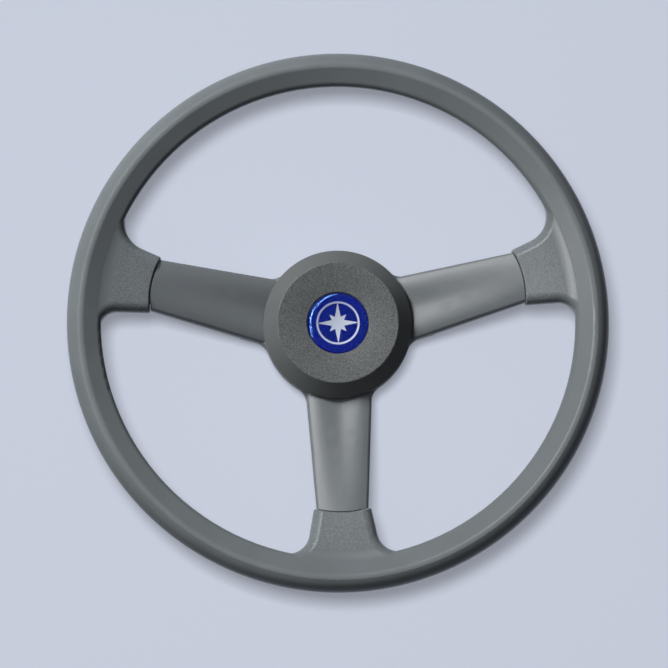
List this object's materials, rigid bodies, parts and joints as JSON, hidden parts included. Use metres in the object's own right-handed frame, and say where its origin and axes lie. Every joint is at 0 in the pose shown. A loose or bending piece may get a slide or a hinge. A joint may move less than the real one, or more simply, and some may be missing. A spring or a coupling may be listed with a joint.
{
  "type": "boat steering wheel",
  "caption": "Dished boat steering wheel with a ridged soft grip moulded over a steel ring, cast spokes, a bevelled hub cap with a domed emblem and a tapered hub for the helm shaft.",
  "frame": {"origin": "centre of the hub's back face, on the wheel axis", "axes": "+Z along the wheel axis towards the helmsman, +Y towards the top of the wheel, so that one spoke points along -Y"},
  "size_m": [0.38, 0.38, 0.0739],
  "materials": {
    "grip": "fine moulded grain, dark grey",
    "ring_steel": "drawn steel bar",
    "casting_paint": "satin grey paint on an aluminium casting",
    "adapter_aluminium": "turned",
    "screw_steel": "bright stainless",
    "cap_plastic": "grained flat with a smooth bevel, dark grey",
    "emblem_blue": "deep blue print",
    "emblem_silver": "bright foil",
    "emblem_clear": "clear resin"
  },
  "bodies": {
    "root": {"rim_grip": "grip", "rim_core_ring": "ring_steel", "spoke_casting": "casting_paint", "hub_adapter": "adapter_aluminium", "hub_screws": "screw_steel", "hub_screw_washers": "screw_steel", "hub_cap": "cap_plastic", "emblem_plate": "emblem_blue", "emblem_motif": "emblem_silver", "emblem_dome": "emblem_clear"}
  },
  "joints": []
}
